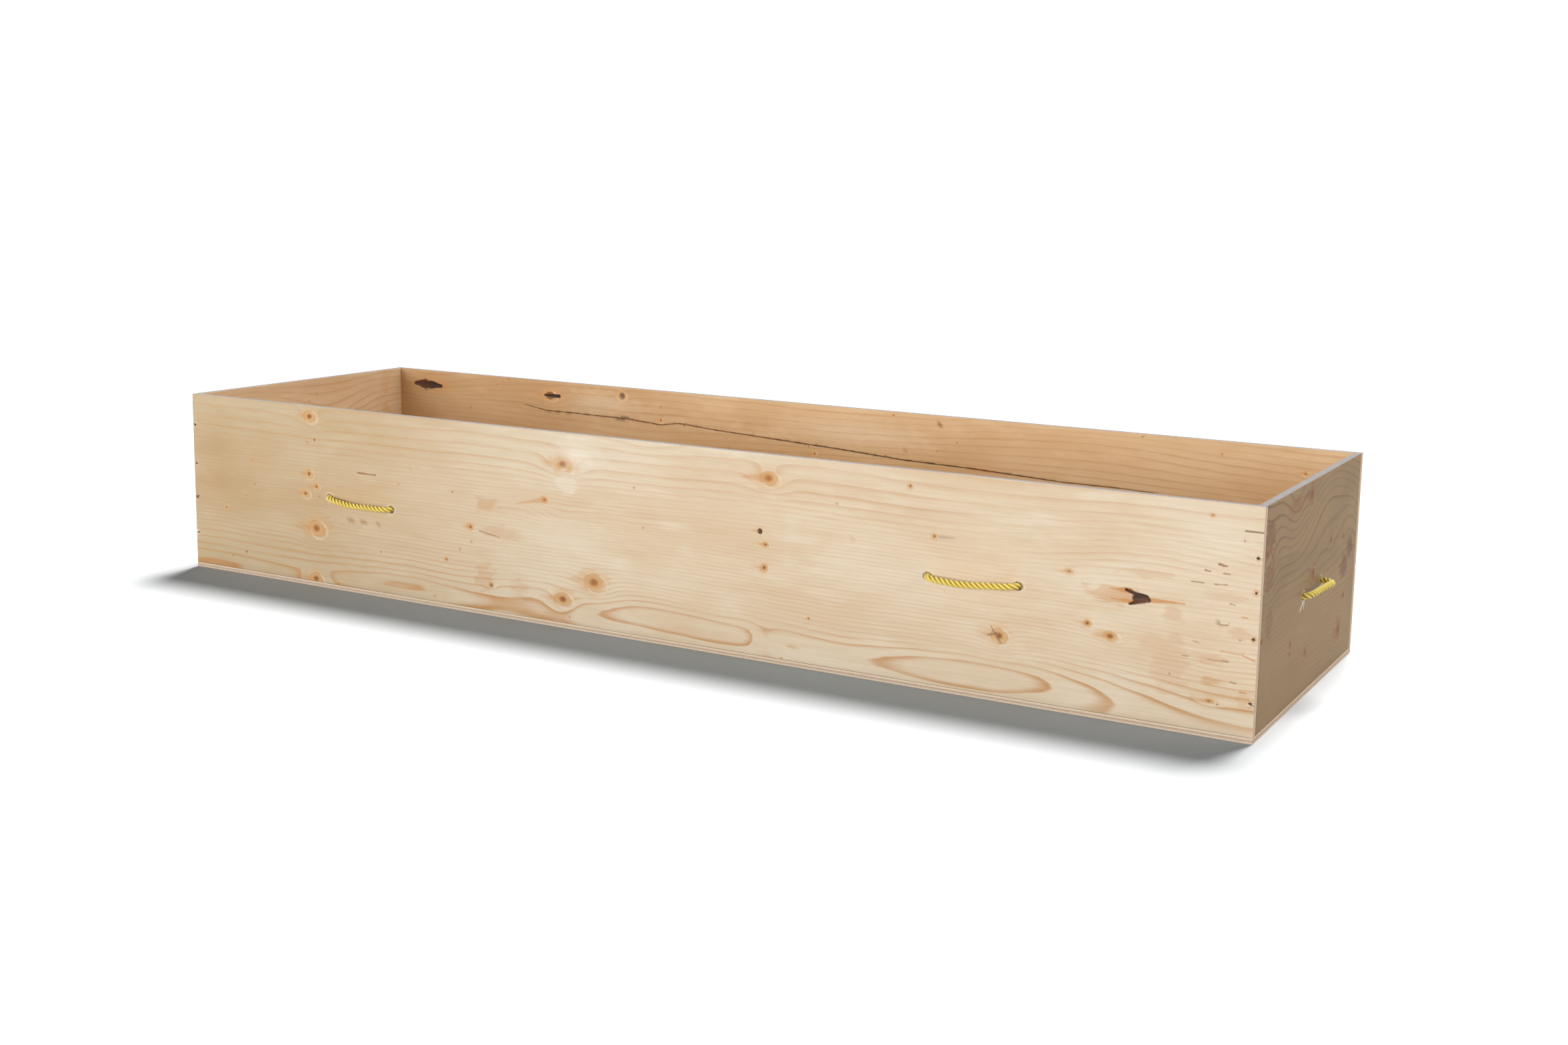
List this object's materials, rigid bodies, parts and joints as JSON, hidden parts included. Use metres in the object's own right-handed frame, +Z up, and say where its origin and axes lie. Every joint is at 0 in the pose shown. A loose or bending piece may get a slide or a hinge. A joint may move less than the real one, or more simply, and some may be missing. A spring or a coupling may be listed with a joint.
{
  "type": "pine coffin",
  "caption": "Open rectangular coffin box of pine plywood, screwed at the corners on a flat base, with knotted rope carrying handles through its long sides and ends.",
  "frame": {"origin": "middle of the underside of the base board, where the box stands on the ground", "axes": "+X along the length, +Y across the width from the front side to the back side, +Z up out of the open top"},
  "size_m": [2.187, 0.647, 0.349],
  "materials": {
    "pine_plywood": "matte",
    "yellow_rope": "satin",
    "screw_steel": "satin"
  },
  "bodies": {
    "root": {"base": "pine_plywood", "front_side": "pine_plywood", "back_side": "pine_plywood", "left_end": "pine_plywood", "right_end": "pine_plywood", "front_left_handle": "yellow_rope", "front_right_handle": "yellow_rope", "back_left_handle": "yellow_rope", "back_right_handle": "yellow_rope", "right_end_handle": "yellow_rope", "left_end_handle": "yellow_rope", "front_left_screw_1": "screw_steel", "front_left_screw_2": "screw_steel", "front_left_screw_3": "screw_steel", "front_left_screw_4": "screw_steel", "front_right_screw_1": "screw_steel", "front_right_screw_2": "screw_steel", "front_right_screw_3": "screw_steel", "front_right_screw_4": "screw_steel", "back_left_screw_1": "screw_steel", "back_left_screw_2": "screw_steel", "back_left_screw_3": "screw_steel", "back_left_screw_4": "screw_steel", "back_right_screw_1": "screw_steel", "back_right_screw_2": "screw_steel", "back_right_screw_3": "screw_steel", "back_right_screw_4": "screw_steel"}
  },
  "joints": []
}
